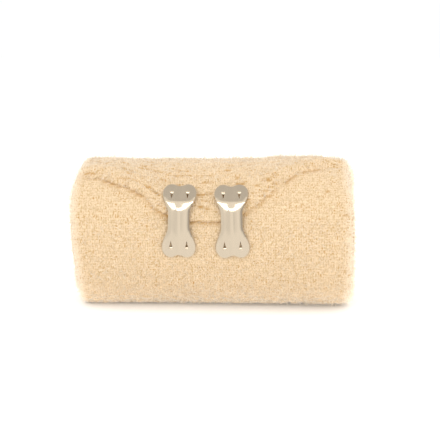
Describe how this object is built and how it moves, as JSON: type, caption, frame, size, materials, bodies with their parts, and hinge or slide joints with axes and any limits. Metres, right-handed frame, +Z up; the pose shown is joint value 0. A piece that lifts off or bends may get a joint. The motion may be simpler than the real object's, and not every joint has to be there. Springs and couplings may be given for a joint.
{
  "type": "rolled crepe bandage",
  "caption": "Crepe bandage rolled up on itself, its loose end folded to a blunt point and held down by toothed metal clips.",
  "frame": {"origin": "middle of the flat spot on which the roll rests", "axes": "+X along the roll's axis, towards the end that is nearer the camera in the picture; -Y out of the front, where the clips are; +Z up"},
  "size_m": [0.0758, 0.0419, 0.0408],
  "materials": {
    "crepe_cloth": "matt crinkled crepe weave",
    "clip_metal": "bright nickel plate, slightly warm"
  },
  "bodies": {
    "root": {"bandage_roll": "crepe_cloth", "loose_end": "crepe_cloth", "clip_left": "clip_metal", "clip_right": "clip_metal"}
  },
  "joints": []
}
